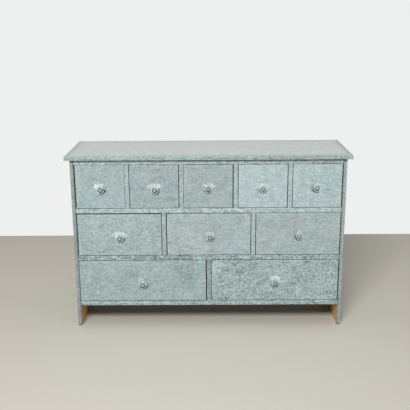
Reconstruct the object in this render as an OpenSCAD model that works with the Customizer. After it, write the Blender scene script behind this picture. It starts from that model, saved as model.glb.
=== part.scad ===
// Chest of ten drawers in three rows, pine boards clad in folded zinc sheet.
// Z is up and the floor is z = 0. The drawers face -Y and X is to the right.
// Every piece is drawn from the face of the front strips at y = 0, and in_place()
// then moves it so that the origin is under the middle of the whole chest.

/* [Case] */
// Width of the case over its side claddings
case_w = 1200; // [1000:5:1500]
// Depth of the case, from the face of the front strips to the back
case_d = 366; // [320:1:480]
// Height of the clear space under the bottom shelf
leg_h = 99; // [50:1:180]
// Thickness of each side board
side_t = 16; // [13:0.5:24]
// Thickness of each shelf and of the two rails under the top
shelf_t = 22; // [18:0.5:30]
// Thickness of each upright divider
divider_t = 19; // [14:0.5:26]
// Height of each drawer opening
opening_h = 196; // [150:1:260]
// Thickness of the back panel
back_t = 6; // [4:0.5:10]
// Depth of each of the two rails under the top
top_rail_d = 70; // [50:1:120]

/* [Top] */
// Thickness of the top board
top_t = 16.5; // [12:0.5:30]
// How far the top reaches past the case at each end
top_side_overhang = 20; // [5:1:40]
// How far the top reaches past the front strips
top_front_overhang = 18; // [5:1:24]
// Radius of the top's upper edges, over the sheet
top_edge_r = 3; // [1.5:0.25:6]

/* [Zinc sheet] */
// Thickness of the sheet
sheet_t = 0.8; // [0.5:0.1:1.2]
// How far the drawer cladding is folded back round the front board
drawer_fold = 14; // [8:1:16]
// Height of the side claddings' lower edges above the floor
foot_gap = 1; // [0.5:0.1:3]

/* [Drawers] */
// Gap at each side of a drawer face, of which each drawer leaves its own share
face_side_gap = 2.1; // [1:0.1:3]
// Gap under a drawer face
face_bottom_gap = 1; // [0.6:0.1:3]
// Gap over a drawer face, of which each drawer leaves its own share
face_top_gap = 1.7; // [1:0.1:4]
// Thickness of the front board
front_t = 18; // [16:0.5:24]
// Thickness of the box's two sides and its back
box_t = 10; // [8:0.5:14]
// Thickness of the bottom panel
bottom_t = 4; // [3:0.5:6]
// How far the box stops below the top of its opening
box_drop = 14; // [12:1:30]
// Gap between the box and the opening at each side
box_side_gap = 3.5; // [2.5:0.1:5]
// Gap between the box and the shelf that it slides on
run_gap = 0.3; // [0.2:0.05:0.5]
// Gap between a shut drawer and the back panel
shut_gap = 0.5; // [0.3:0.1:3]
// Height of the bottom panel above the lower edge of the box's sides
bottom_rise = 8; // [6:0.5:16]
// Depth of the groove that holds the bottom panel
groove_d = 4; // [3:0.5:5]
// Glue line left between the boards of a drawer box, and round its bottom panel
glue_gap = 0.1; // [0.05:0.05:0.3]

/* [Knobs] */
// Width of the glass flower over its petals
knob_w = 41; // [32:0.5:50]
// Number of petals
petals = 6; // [5:1:8]
// Radius of a petal's round end
petal_r = 8; // [6:0.5:10]
// Thickness of the glass flower
glass_t = 16; // [13:0.5:20]
// Height of the petals' outer edge above the foot of the glass
rim_h = 6; // [4:0.5:7]
// Thickness of the petals at their outer edge
rim_t = 3; // [1:0.5:4]
// Width of the flat front of the glass
front_w = 26; // [22:0.5:30]
// Width of the margin round the button in the front of the glass
dish_margin = 2; // [1:0.5:3]
// How far the button sits down in the front of the glass
button_sink = 1; // [0:0.25:1.5]
// Width of the metal base at the drawer face
base_w = 24; // [20:0.5:27]
// Thickness of the base's foot
base_t = 1.5; // [1:0.25:2.5]
// Width of the base's waist
waist_w = 11; // [9:0.5:12]
// Width of the base's neck, where the glass stands on it
neck_w = 15; // [13:0.5:18]
// Height of the base
base_h = 10; // [8:0.5:14]
// Width of the bolt's round head
button_w = 10; // [8.5:0.5:11]
// Height of the bolt's round head
button_h = 4; // [3:0.5:5]
// Height of the straight edge of the bolt's round head
button_edge = 1; // [0.5:0.25:2]
// Diameter of the bolt
bolt_d = 4; // [3:0.5:5]
// How far the bolt reaches past the nut
bolt_end = 2; // [1:0.5:5]
// Gap between the bolt and the sides of its hole
bolt_gap = 0.3; // [0.1:0.1:0.5]
// How far the knob sits below the middle of its opening
knob_drop = 8; // [0:1:25]
// Width of the washer
washer_w = 14; // [12:0.5:20]
// Thickness of the washer
washer_t = 1; // [0.8:0.1:2]
// Width of the nut across its flats
nut_w = 7; // [6.5:0.5:10]
// Thickness of the nut
nut_t = 3.2; // [2.5:0.1:5]

/* [Screws and nails] */
// Diameter of a case screw's shank
screw_d = 4; // [3:0.5:5]
// Diameter of a case screw's countersunk head
screw_head = 8; // [7:0.5:10]
// Length of a case screw
screw_len = 50; // [35:1:70]
// Diameter of a nail's shank
nail_d = 1.6; // [1.2:0.1:2]
// Diameter of a nail's head
nail_head = 3.6; // [3:0.1:4.4]
// Thickness of a nail's head
nail_head_t = 0.6; // [0.4:0.1:1]
// Length of a nail's shank
nail_len = 16; // [12:1:22]
// Gap between a screw or nail and the sides of its hole
pin_gap = 0.05; // [0.02:0.01:0.1]

/* [Hidden] */
ROW_NAMES = ["top", "middle", "bottom"];
ROW_COUNTS = [5, 3, 2];
ROWS = len(ROW_NAMES);
DRAWER_PARTS = ["box", "cladding", "knob", "knob_bolt"];

CASE_NODES = [
    "top_board", "top_cladding", "top_rails",
    "left_side", "right_side", "left_side_cladding", "right_side_cladding",
    "upper_shelf", "lower_shelf", "bottom_shelf", "back_panel",
    "top_row_dividers", "middle_row_dividers", "bottom_row_divider",
    "rail_claddings", "divider_claddings",
    "case_screws", "back_panel_nails", "cladding_nails"
];

// Case sizes that follow from the boards
inner_w = case_w - 2 * (side_t + sheet_t);
case_h = leg_h + (ROWS + 1) * shelf_t + ROWS * opening_h;
board_y = sheet_t;
board_d = case_d - sheet_t - back_t;
knob_reach = base_h + glass_t + button_h - button_sink;
front_y = -(case_d - knob_reach) / 2;

// Drawer sizes that are the same in every row
box_y = sheet_t + front_t;
box_end = case_d - back_t - shut_gap;
box_top = opening_h - box_drop;
bottom_z = run_gap + bottom_rise;

// Shares of the gaps at its left, at its right and over its face that each drawer leaves,
// because its front was cut and hung by hand
FACE_GAPS = [
    [[1.85, 0.25, 0.35], [0.9, 1.1, 0.5], [0.25, 1.5, 0.85], [1.05, 1.15, 1.15], [0.95, 1.4, 0.8]],
    [[1.4, 1.05, 2.4], [1.5, 1, 1.5], [1.1, 1, 0.65]],
    [[0.25, 1.8, 0.95], [0.75, 1.35, 0.95]]
];

// How each knob was set by hand: its hole off the mark to the right and down, and its turn
KNOB_SET = [
    [[4, 2.5, 12], [4, 4.5, -8], [0, 0, 30], [0, 1, 30], [-4, -1, 5]],
    [[2.5, 6, 20], [5, 3.5, -12], [5, -1.5, 26]],
    [[0, 7.5, -20], [2, 1.5, 0]]
];

// How far a cut runs past the face that it opens
cut = 1;

// Nails stand this far in from the end of a strip, and screws from a board's edge
strip_nail_inset = 12;
rail_nails = 7;
screw_inset = 40;
shelf_screws = 3;
back_nails = 7;
back_nail_inset = 30;

zinc = "#a8baba";
pine = "#c8954f";
ply = "#b98a56";
glass = "#dfe8e8";
steel = "#b9bcbc";

function drawer_name(r, i) = str(ROW_NAMES[r], "_drawer_", i + 1);

// Row 0 is the top row, and level 0 is the bottom shelf
function level_z(level) = leg_h + level * (shelf_t + opening_h);
function row_z(r) = level_z(ROWS - 1 - r) + shelf_t;
function opening_w(r) = (inner_w - (ROW_COUNTS[r] - 1) * divider_t) / ROW_COUNTS[r];
function opening_x(r, i) = -inner_w / 2 + opening_w(r) / 2 + i * (opening_w(r) + divider_t);
function divider_xs(r) =
    [for (i = [1 : ROW_COUNTS[r] - 1]) opening_x(r, i) - (opening_w(r) + divider_t) / 2];
function left_gap(r, i) = FACE_GAPS[r][i][0] * face_side_gap;
function right_gap(r, i) = FACE_GAPS[r][i][1] * face_side_gap;
function top_gap(r, i) = FACE_GAPS[r][i][2] * face_top_gap;
function face_w(r, i) = opening_w(r) - left_gap(r, i) - right_gap(r, i);
function face_h(r, i) = opening_h - face_bottom_gap - top_gap(r, i);
function box_w(r) = opening_w(r) - 2 * box_side_gap;

// How far a drawer hangs to the right of the middle of its opening
function hang(r, i) = (left_gap(r, i) - right_gap(r, i)) / 2;
function knob_x(r, i) = KNOB_SET[r][i][0];
function knob_z(r, i) = opening_h / 2 - knob_drop - KNOB_SET[r][i][1];
function knob_turn(r, i) = KNOB_SET[r][i][2];

// count places spread evenly from first to last
function spread(first, last, count) =
    [for (k = [0 : count - 1]) first + (last - first) * k / (count - 1)];

// From the face of the front strips at y = 0 to the chest's own origin
module in_place() {
    translate([0, front_y, 0]) children();
}

// A block between two places in X, Y and Z
module block(x, y, z) {
    translate([x[0], y[0], z[0]]) cube([x[1] - x[0], y[1] - y[0], z[1] - z[0]]);
}

// A block centred in X, w wide, that starts at y and z
module board(w, y, d, z, h) {
    translate([-w / 2, y, z]) cube([w, d, h]);
}

// The end of a slab that is centred in X, with its two upper corners rounded
module slab_end(w, h, r) {
    translate([-w / 2, 0]) square([w, h - r]);
    translate([r - w / 2, h - r]) square([w - 2 * r, r]);
    for (side = [-1, 1]) translate([side * (w / 2 - r), h - r]) circle(r = r, $fn = 48);
}

// A slab centred in X, from y to y + d, with all four upper edges rounded
module slab(w, y, d, z, h, r) {
    translate([0, y, z]) intersection() {
        translate([0, d, 0]) rotate([90, 0, 0]) linear_extrude(height = d) slab_end(w, h, r);
        translate([-w / 2, d / 2, 0]) rotate([90, 0, 90])
            linear_extrude(height = w) slab_end(d, h, r);
    }
}

// From the middle of a drawer's width, at the foot of its opening
module at_drawer(r, i) {
    in_place() translate([opening_x(r, i) + hang(r, i), 0, row_z(r)]) children();
}

// A shank and head along +Y, with the head's outer face at y = 0
module screw(grow = 0) {
    rotate([-90, 0, 0]) {
        cylinder(d = screw_d + 2 * grow, h = screw_len + grow, $fn = 24);
        cylinder(d1 = screw_head + 2 * grow, d2 = screw_d + 2 * grow,
            h = (screw_head - screw_d) / 2, $fn = 24);
    }
}

// A nail along +Y, with the underside of its head at y = 0
module nail(grow = 0) {
    rotate([-90, 0, 0]) cylinder(d = nail_d + 2 * grow, h = nail_len + grow, $fn = 16);
    rotate([90, 0, 0]) cylinder(d = nail_head + 2 * grow, h = nail_head_t, $fn = 16);
}

// Screws go in through both side boards, into the shelf or rail at each level
module screw_places(level) {
    depths = level == ROWS
        ? [board_y + top_rail_d / 2, board_y + board_d - top_rail_d / 2]
        : spread(board_y + screw_inset, board_y + board_d - screw_inset, shelf_screws);
    for (side = [-1, 1]) for (y = depths)
        translate([side * (inner_w / 2 + side_t), y, level_z(level) + shelf_t / 2])
            rotate([0, 0, side * 90]) children();
}

// Nails along the middle of each rail's strip
module rail_nail_places(level) {
    reach = inner_w / 2 - strip_nail_inset;
    for (x = spread(-reach, reach, rail_nails))
        translate([x, 0, level_z(level) + shelf_t / 2]) children();
}

// A nail at the top and the foot of each divider's strip
module divider_nail_places(r) {
    for (x = divider_xs(r)) for (z = [strip_nail_inset, opening_h - strip_nail_inset])
        translate([x, 0, row_z(r) + z]) children();
}

// Nails in the back panel, their heads let into its outer face
module back_nail_places(level) {
    reach = inner_w / 2 - back_nail_inset;
    for (x = spread(-reach, reach, back_nails))
        translate([x, case_d - nail_head_t, level_z(level) + shelf_t / 2])
            rotate([0, 0, 180]) children();
}

// A board at one level, with its screw and nail holes
module level_board(level, y, d) {
    difference() {
        board(inner_w, y, d, level_z(level), shelf_t);
        screw_places(level) screw(pin_gap);
        rail_nail_places(level) nail(pin_gap);
        back_nail_places(level) nail(pin_gap);
    }
}

// A full shelf between two rows or under the last one
module shelf(level) {
    color(pine) in_place() level_board(level, board_y, board_d);
}

// The front rail and the back rail under the top
module top_rails() {
    color(pine) in_place() {
        level_board(ROWS, board_y, top_rail_d);
        level_board(ROWS, board_y + board_d - top_rail_d, top_rail_d);
    }
}

// A side board that is also the foot; side is -1 on the left and 1 on the right
module side_board(side) {
    inner = inner_w / 2;
    color(pine) in_place() difference() {
        scale([side, 1, 1])
            block([inner, inner + side_t], [board_y, case_d - sheet_t], [0, case_h]);
        for (level = [0 : ROWS]) screw_places(level) screw(pin_gap);
    }
}

// One sheet over the outer face, folded round the front and back edges
module side_cladding(side) {
    inner = inner_w / 2;
    color(zinc) in_place() mirror([side < 0 ? 1 : 0, 0, 0]) difference() {
        block([inner, case_w / 2], [0, case_d], [foot_gap, case_h]);
        block([inner - cut, inner + side_t], [sheet_t, case_d - sheet_t], [0, case_h + cut]);
    }
}

// A thin panel between the side boards, nailed to shelves and back rail
module back_panel() {
    color(ply) in_place() difference() {
        board(inner_w, case_d - back_t, back_t, leg_h, case_h - leg_h);
        for (level = [0 : ROWS]) back_nail_places(level) nail(pin_gap);
    }
}

// The uprights between the drawers of one row
module dividers(r) {
    color(pine) in_place() difference() {
        for (x = divider_xs(r)) translate([x, 0, 0])
            board(divider_t, board_y, board_d, row_z(r), opening_h);
        divider_nail_places(r) nail(pin_gap);
    }
}

// The board under the top cladding
module top_board() {
    w = case_w + 2 * (top_side_overhang - sheet_t);
    y = sheet_t - top_front_overhang;
    color(pine) in_place()
        slab(w, y, case_d - sheet_t - y, case_h, top_t, top_edge_r - sheet_t);
}

// A shallow pan of zinc over the top board, folded down on all four edges
module top_cladding() {
    w = case_w + 2 * top_side_overhang;
    d = case_d + top_front_overhang;
    color(zinc) in_place() difference() {
        slab(w, -top_front_overhang, d, case_h, top_t + sheet_t, top_edge_r);
        slab(w - 2 * sheet_t, sheet_t - top_front_overhang, d - 2 * sheet_t,
            case_h - cut, top_t + cut, top_edge_r - sheet_t);
    }
}

// Strips on the front edges of the shelves and of the front rail
module rail_claddings() {
    color(zinc) in_place() for (level = [0 : ROWS]) difference() {
        board(inner_w, 0, sheet_t, level_z(level), shelf_t);
        rail_nail_places(level) nail(pin_gap);
    }
}

// Strips on the front edges of the dividers
module divider_claddings() {
    color(zinc) in_place() for (r = [0 : ROWS - 1]) difference() {
        for (x = divider_xs(r)) translate([x, 0, 0])
            board(divider_t, 0, sheet_t, row_z(r), opening_h);
        divider_nail_places(r) nail(pin_gap);
    }
}

module case_screws() {
    color(steel) in_place() for (level = [0 : ROWS]) screw_places(level) screw();
}

module back_panel_nails() {
    color(steel) in_place() for (level = [0 : ROWS]) back_nail_places(level) nail();
}

module cladding_nails() {
    color(steel) in_place() {
        for (level = [0 : ROWS]) rail_nail_places(level) nail();
        for (r = [0 : ROWS - 1]) divider_nail_places(r) nail();
    }
}

// From the drawer face on the knob's axis, turned so that Z comes out of the front
module at_knob(r, i) {
    translate([knob_x(r, i), 0, knob_z(r, i)]) rotate([90, 0, 0]) children();
}

// The bolt's hole through the whole drawer front
module bolt_hole(r, i) {
    at_knob(r, i) translate([0, 0, -box_y - cut])
        cylinder(d = bolt_d + 2 * bolt_gap, h = box_y + 2 * cut, $fn = 32);
}

// The bottom panel, or with grow the groove that takes it
module bottom_panel(r, grow = 0) {
    w = box_w(r) - 2 * (box_t - groove_d + glue_gap) + 2 * grow;
    y = box_y - groove_d + glue_gap - grow;
    board(w, y, box_end + grow - y, bottom_z - grow, bottom_t + 2 * grow);
}

// Front board, two sides, back and bottom of one drawer
module drawer_box(r, i) {
    side_x = box_w(r) / 2;
    back_z = bottom_z + bottom_t + glue_gap;
    color(pine) at_drawer(r, i) {
        difference() {
            board(face_w(r, i) - 2 * sheet_t, sheet_t, front_t,
                face_bottom_gap + sheet_t, face_h(r, i) - 2 * sheet_t);
            bolt_hole(r, i);
            bottom_panel(r, glue_gap);
        }
        for (side = [0, 1]) mirror([side, 0, 0]) difference() {
            block([side_x - box_t, side_x], [box_y + glue_gap, box_end], [run_gap, box_top]);
            bottom_panel(r, glue_gap);
        }
        board(2 * (side_x - box_t - glue_gap), box_end - box_t, box_t, back_z, box_top - back_z);
        bottom_panel(r);
    }
}

// A pan of zinc over the front board, folded back on all four edges
module drawer_cladding(r, i) {
    color(zinc) at_drawer(r, i) difference() {
        board(face_w(r, i), 0, sheet_t + drawer_fold, face_bottom_gap, face_h(r, i));
        board(face_w(r, i) - 2 * sheet_t, sheet_t, drawer_fold + cut,
            face_bottom_gap + sheet_t, face_h(r, i) - 2 * sheet_t);
        bolt_hole(r, i);
    }
}

// Points of an elliptical arc round [x, z], from one angle to another
function arc(x, z, rx, rz, from, to, steps) =
    [for (a = spread(from, to, steps + 1)) [x + rx * cos(a), z + rz * sin(a)]];

// Petal circles that touch the outer width, and the disc that joins them
module flower() {
    reach = knob_w / 2 - petal_r;
    circle(r = reach, $fn = 48);
    for (k = [0 : petals - 1]) rotate(90 + k * 360 / petals)
        translate([reach, 0]) circle(r = petal_r, $fn = 48);
}

// Half section of the glass: a rounded back, a thin rim and a domed front with a dish
module glass_section() {
    foot = neck_w / 2;
    front = front_w / 2;
    rim_front = rim_h + rim_t;
    dish = button_w / 2 + dish_margin;
    polygon(concat(
        [[0, 0]],
        arc(foot, rim_h, knob_w / 2 - foot, rim_h, -90, 0, 3),
        arc(front, rim_front, knob_w / 2 - front, glass_t - rim_front, 0, 90, 4),
        [[dish, glass_t], [button_w / 2, glass_t - button_sink], [0, glass_t - button_sink]]
    ));
}

// The glass flower, drilled for its bolt
module drawer_knob(r, i) {
    color(glass) at_drawer(r, i) at_knob(r, i) translate([0, 0, base_h])
        difference() {
            intersection() {
                linear_extrude(height = glass_t) rotate(knob_turn(r, i)) flower();
                rotate_extrude($fn = 64) glass_section();
            }
            translate([0, 0, -cut])
                cylinder(d = bolt_d + 2 * bolt_gap, h = glass_t + 2 * cut, $fn = 32);
        }
}

// Half section of the base between the drawer face and the glass: a foot, a waist, a neck
module base_section() {
    bore = bolt_d / 2 + bolt_gap;
    waist = waist_w / 2;
    middle = (base_t + base_h) / 2;
    polygon(concat(
        [[bore, 0], [base_w / 2, 0]],
        arc(base_w / 2, middle, base_w / 2 - waist, middle - base_t, 270, 180, 3),
        arc(neck_w / 2, middle, neck_w / 2 - waist, base_h - middle, 180, 90, 3),
        [[bore, base_h]]
    ));
}

// Half section of the bolt's domed head
module button_section() {
    polygon(concat(
        [[0, 0], [button_w / 2, 0]],
        arc(0, button_edge, button_w / 2, button_h - button_edge, 0, 90, 4)
    ));
}

// A flat ring with its bore, round or with 6 sides
module ring(width, bore, h, sides) {
    difference() {
        cylinder(d = width, h = h, $fn = sides);
        translate([0, 0, -cut]) cylinder(d = bore, h = h + 2 * cut, $fn = 32);
    }
}

// Base, bolt, washer and nut of one knob
module knob_bolt(r, i) {
    head_z = base_h + glass_t - button_sink;
    washer_z = -box_y - washer_t;
    nut_z = washer_z - glue_gap - nut_t;
    color(steel) at_drawer(r, i) at_knob(r, i) {
        rotate_extrude($fn = 64) base_section();
        translate([0, 0, head_z]) rotate_extrude($fn = 48) button_section();
        translate([0, 0, nut_z - bolt_end])
            cylinder(d = bolt_d, h = head_z - nut_z + bolt_end, $fn = 32);
        translate([0, 0, washer_z]) ring(washer_w, bolt_d + 2 * bolt_gap, washer_t, 32);
        translate([0, 0, nut_z]) ring(nut_w / cos(30), bolt_d + 2 * pin_gap, nut_t, 6);
    }
}

top_board();
top_cladding();
top_rails();
side_board(-1);  // left_side
side_board(1);  // right_side
side_cladding(-1);  // left_side_cladding
side_cladding(1);  // right_side_cladding
shelf(2);  // upper_shelf
shelf(1);  // lower_shelf
shelf(0);  // bottom_shelf
back_panel();
dividers(0);  // top_row_dividers
dividers(1);  // middle_row_dividers
dividers(2);  // bottom_row_divider
rail_claddings();
divider_claddings();
case_screws();
back_panel_nails();
cladding_nails();

for (r = [0 : ROWS - 1]) for (i = [0 : ROW_COUNTS[r] - 1]) {
    name = drawer_name(r, i);
    drawer_box(r, i);
    drawer_cladding(r, i);
    drawer_knob(r, i);
    knob_bolt(r, i);
}
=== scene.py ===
import math

import bmesh
import bpy
from mathutils import Matrix, Vector, noise


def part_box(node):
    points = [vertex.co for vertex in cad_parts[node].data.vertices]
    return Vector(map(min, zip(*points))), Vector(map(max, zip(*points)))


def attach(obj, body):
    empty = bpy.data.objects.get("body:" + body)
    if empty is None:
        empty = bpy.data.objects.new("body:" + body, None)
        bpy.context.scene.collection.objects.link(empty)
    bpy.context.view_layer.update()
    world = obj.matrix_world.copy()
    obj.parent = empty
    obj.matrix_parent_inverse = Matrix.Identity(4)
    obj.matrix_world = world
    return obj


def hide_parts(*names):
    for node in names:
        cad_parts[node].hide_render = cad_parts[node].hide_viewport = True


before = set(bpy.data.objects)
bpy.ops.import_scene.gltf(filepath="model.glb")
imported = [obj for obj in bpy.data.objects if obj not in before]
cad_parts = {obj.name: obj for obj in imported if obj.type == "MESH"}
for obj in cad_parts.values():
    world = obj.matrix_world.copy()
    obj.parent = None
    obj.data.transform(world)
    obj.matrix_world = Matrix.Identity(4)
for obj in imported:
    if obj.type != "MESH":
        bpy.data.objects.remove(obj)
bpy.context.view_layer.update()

# The view. The chest is seen from straight in front, from the height of a standing
# person's chest, with the camera tipped about 15 degrees down and almost level.
view_place = (0.0018, -3.1116, 1.3734)
view_turn = 0.0059
view_down = 0.2662
view_roll = -0.0069
film_width = 36
lens_length = 61.12

viewer = bpy.data.objects.new("viewer", bpy.data.cameras.new("viewer"))
viewer.data.sensor_width = film_width
viewer.data.lens = lens_length
viewer.matrix_world = (
    Matrix.Translation(view_place)
    @ Matrix.Rotation(view_turn, 4, "Z")
    @ Matrix.Rotation(math.pi / 2 - view_down, 4, "X")
    @ Matrix.Rotation(view_roll, 4, "Z")
)
bpy.context.scene.collection.objects.link(viewer)
bpy.context.scene.camera = viewer
bpy.context.scene.view_settings.view_transform = "Standard"


# The floor and the light. A pale matt floor ends a metre behind the chest, where a pale
# room begins. A wide soft lamp stands high behind the viewer, and a weaker one hangs over
# the chest.
floor_x = (-4.5, 4.5)
floor_y = (-7, 1.19)
room_tone = (238, 240, 239)
floor_tone = (205, 200, 189)
# how strong the room is to dull surfaces, how strong glass and metal see it on the viewer's
# side, and between which headings it grows to its full strength at the wall
room_light = 0.32
room_dim = 0.3
wall_fade = (-0.3, 0.4)
lamps = {
    "front_lamp": {"at": (-0.9, -4.4, 3.8), "size": (2.2, 1.4), "watts": 262},
    "overhead_lamp": {"at": (0.3, -0.7, 3.2), "size": (3.0, 1.6), "watts": 12},
}
lit_point = Vector((0, 0, 0.45))


def colour(red, green, blue):
    """A colour as it looks on a screen, in steps of 0 to 255, for a shader's socket."""
    shares = [step / 255 for step in (red, green, blue)]
    return (*[s / 12.92 if s <= 0.04045 else ((s + 0.055) / 1.055) ** 2.4 for s in shares], 1)


def feed(node, feeds):
    """Sets a node's sockets: a value is written in, and another node's socket is linked."""
    for socket, value in feeds.items():
        if isinstance(value, bpy.types.NodeSocket):
            node.id_data.links.new(value, node.inputs[socket])
        else:
            node.inputs[socket].default_value = value


def toolbox(tree):
    """Two functions for a tree: one adds any node, one adds a sum and gives its result."""
    def add(kind, feeds=None, **settings):
        node = tree.nodes.new(kind)
        for setting, value in settings.items():
            setattr(node, setting, value)
        feed(node, feeds or {})
        return node

    def calc(operation, *values):
        return add("ShaderNodeMath", dict(enumerate(values)), operation=operation).outputs[0]

    return add, calc


def coat(name):
    """A new material, its shader, and the two functions that add nodes to it."""
    material = bpy.data.materials.new(name)
    material.use_nodes = True
    return (material, material.node_tree.nodes["Principled BSDF"], *toolbox(material.node_tree))


def place_piece(name, mesh):
    """An object for a finished mesh, at the origin."""
    piece = bpy.data.objects.new(name, mesh)
    bpy.context.scene.collection.objects.link(piece)
    return piece


floor_mesh = bpy.data.meshes.new("floor")
floor_mesh.from_pydata([(x, y, 0) for y in floor_y for x in floor_x], [], [(0, 1, 3, 2)])
floor = place_piece("floor", floor_mesh)
material, shader, add, _ = coat("pale_floor")
grit = add("ShaderNodeTexNoise", {"Scale": 260, "Detail": 2, "Vector":
    add("ShaderNodeTexCoord").outputs["Object"]})
shade = add("ShaderNodeMapRange", {"Value": grit.outputs[0], "To Min": 0.97, "To Max": 1.03})
feed(shader, {"Roughness": 0.75, "Base Color": add("ShaderNodeVectorMath",
    {0: colour(*floor_tone)[:3], "Scale": shade.outputs[0]}, operation="SCALE").outputs[0]})
floor.data.materials.append(material)

world = bpy.data.worlds.new("room")
world.use_nodes = True
bpy.context.scene.world = world
add, calc = toolbox(world.node_tree)
path = add("ShaderNodeLightPath")
heading = add("ShaderNodeSeparateXYZ", {0: add("ShaderNodeTexCoord").outputs["Generated"]})
wall_side = add("ShaderNodeMapRange", {"Value": heading.outputs["Y"],
    "From Min": wall_fade[0], "From Max": wall_fade[1], "To Min": room_dim}).outputs[0]
mirrored = calc("MAXIMUM", path.outputs["Is Glossy Ray"], path.outputs["Is Transmission Ray"])
strength = add("ShaderNodeMix", {0: mirrored, 2: room_light, 3: wall_side}).outputs[0]
strength = calc("MAXIMUM", path.outputs["Is Camera Ray"], strength)
feed(world.node_tree.nodes["Background"], {"Color": colour(*room_tone), "Strength": strength})

for name, lamp in lamps.items():
    light = bpy.data.lights.new(name, "AREA")
    light.shape = "RECTANGLE"
    light.size, light.size_y = lamp["size"]
    light.energy = lamp["watts"]
    stand = bpy.data.objects.new(name, light)
    towards = lit_point - Vector(lamp["at"])
    stand.matrix_world = (Matrix.Translation(lamp["at"])
        @ towards.to_track_quat("-Z", "Y").to_matrix().to_4x4())
    bpy.context.scene.collection.objects.link(stand)


# The timber case. Two side boards run down to the floor as feet, with three shelves, two
# rails and a bank of upright dividers between them and one board on top. All are planed
# pine with just broken edges, butted together and screwed through the sides.
board_edge = 0.0008
top_board_edge = 0.0022
# boards thinner than this are plywood, and points closer than this are one
plywood_under = 0.007
weld = 1e-6
pine_pale = (232, 186, 120)
pine_dark = (182, 126, 66)
ply_pale = (205, 170, 122)
ply_dark = (158, 118, 76)
# how far apart a wave texture's rings lie at scale 1, then for each wood the gap between
# its year rings and how much slower they change along it, and one layer of the plywood
wave_gap = 0.314
pine_rings = (0.007, 0.05)
ply_rings = (0.021, 0.1)
ply_layer = 0.00134
# fibres to a metre along, across and through the board, and the scale of paler patches
fibres = (12, 700, 700)
wood_clouds = 14
# how far along, across and through the log a board's place may shift, the least distance of
# its pith, how much its grain may run out, and the cells to a metre that draw their own lot
log_shift = (9, 0.14, 0.05)
pith_gap = 0.02
grain_tilt = 0.025
luck_cells = 37
# the wood is left unshaded only at the front of the feet: up to this height and back to this
# depth, from where painted shade sets in over these lengths, weaker on the rest of the feet
unshaded_below = 0.096
unshaded_before = -0.06
shade_fade = (0.003, 0.05)
foot_unshaded = 0.3
inner_shade = 0.85
case_boards = [
    "left_side", "right_side", "upper_shelf", "lower_shelf", "bottom_shelf", "top_rails",
    "top_row_dividers", "middle_row_dividers", "bottom_row_divider",
]


def solids(node):
    """The lowest and highest corner of each separate solid in a node, from left to right."""
    shape = bmesh.new()
    shape.from_mesh(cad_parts[node].data)
    bmesh.ops.remove_doubles(shape, verts=shape.verts, dist=weld)
    waiting, found = set(shape.verts), []
    while waiting:
        reached, points = [waiting.pop()], []
        while reached:
            vert = reached.pop()
            points.append(vert.co.copy())
            for edge in vert.link_edges:
                other = edge.other_vert(vert)
                if other in waiting:
                    waiting.remove(other)
                    reached.append(other)
        found.append(tuple(Vector(pick(axis) for axis in zip(*points)) for pick in (min, max)))
    shape.free()
    return sorted(found, key=lambda box: [round(c, 4) for c in (*box[0], *box[1])])


def wood_coat(name, pale, dark, rings, ringed=0.62, layers=0.0, soiled=0.0):
    """Solid timber: rings round a pith that runs along the board, and fine fibres."""
    ring_gap, stretch = rings
    material, shader, add, calc = coat(name)
    grain = add("ShaderNodeAttribute", attribute_name="grain").outputs["Vector"]
    along = add("ShaderNodeMapping", {"Vector": grain, "Scale": (stretch, 1, 1)}).outputs[0]
    wood_rings = add("ShaderNodeTexWave", {"Vector": along, "Scale": wave_gap / ring_gap,
        "Distortion": 5, "Detail": 2, "Detail Scale": 0.6, "Detail Roughness": 0.5},
        wave_type="RINGS", rings_direction="X", wave_profile="SAW").outputs["Fac"]
    thin = add("ShaderNodeMapping", {"Vector": grain, "Scale": fibres}).outputs[0]
    fibre = add("ShaderNodeTexNoise", {"Vector": thin, "Scale": 1, "Detail": 3}).outputs[0]
    cloud = add("ShaderNodeTexNoise", {"Vector": along, "Scale": wood_clouds,
        "Detail": 2}).outputs[0]
    share = calc("MULTIPLY", calc("POWER", wood_rings, 1.8), ringed)
    share = calc("MULTIPLY_ADD", calc("SUBTRACT", fibre, 0.5), 0.9, share)
    share = calc("MULTIPLY_ADD", calc("SUBTRACT", cloud, 0.5), 0.8, share)
    if layers:
        through = add("ShaderNodeSeparateXYZ", {0: grain}).outputs["Z"]
        ply = calc("GREATER_THAN", calc("FRACT", calc("DIVIDE", through, 2 * layers)), 0.5)
        share = calc("MULTIPLY_ADD", ply, 0.3, share)
    tone = add("ShaderNodeMix", {0: share, 6: colour(*pale), 7: colour(*dark)},
        data_type="RGBA").outputs[2]
    # painted shade: the wood is darker inside the case, under the bottom shelf and towards the
    # back of the feet
    if soiled:
        spot = add("ShaderNodeSeparateXYZ", {0: add("ShaderNodeTexCoord").outputs["Object"]})
        below = add("ShaderNodeMapRange", {"Value": spot.outputs["Z"], "From Min": unshaded_below,
            "From Max": unshaded_below + shade_fade[0], "To Min": 1, "To Max": 0}).outputs[0]
        before = add("ShaderNodeMapRange", {"Value": spot.outputs["Y"], "From Min": unshaded_before,
            "From Max": unshaded_before + shade_fade[1], "To Min": 1,
            "To Max": foot_unshaded}).outputs[0]
        unshaded = add("ShaderNodeMapRange", {"Value": calc("MULTIPLY", below, before),
            "To Min": 1 - soiled, "To Max": 1}).outputs[0]
        tone = add("ShaderNodeVectorMath", {0: tone, "Scale": unshaded}, operation="SCALE").outputs[0]
    bump = add("ShaderNodeBump", {"Strength": 0.25, "Distance": 0.0004, "Height": fibre})
    rough = add("ShaderNodeMapRange", {"Value": fibre, "To Min": 0.5, "To Max": 0.75})
    feed(shader, {"Base Color": tone, "Roughness": rough.outputs[0],
        "Normal": bump.outputs[0]})
    return material


pine = wood_coat("pine", pine_pale, pine_dark, pine_rings)
case_pine = wood_coat("case_pine", pine_pale, pine_dark, pine_rings, soiled=inner_shade)
plywood = wood_coat("plywood", ply_pale, ply_dark, ply_rings, ringed=0.3, layers=ply_layer)


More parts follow.
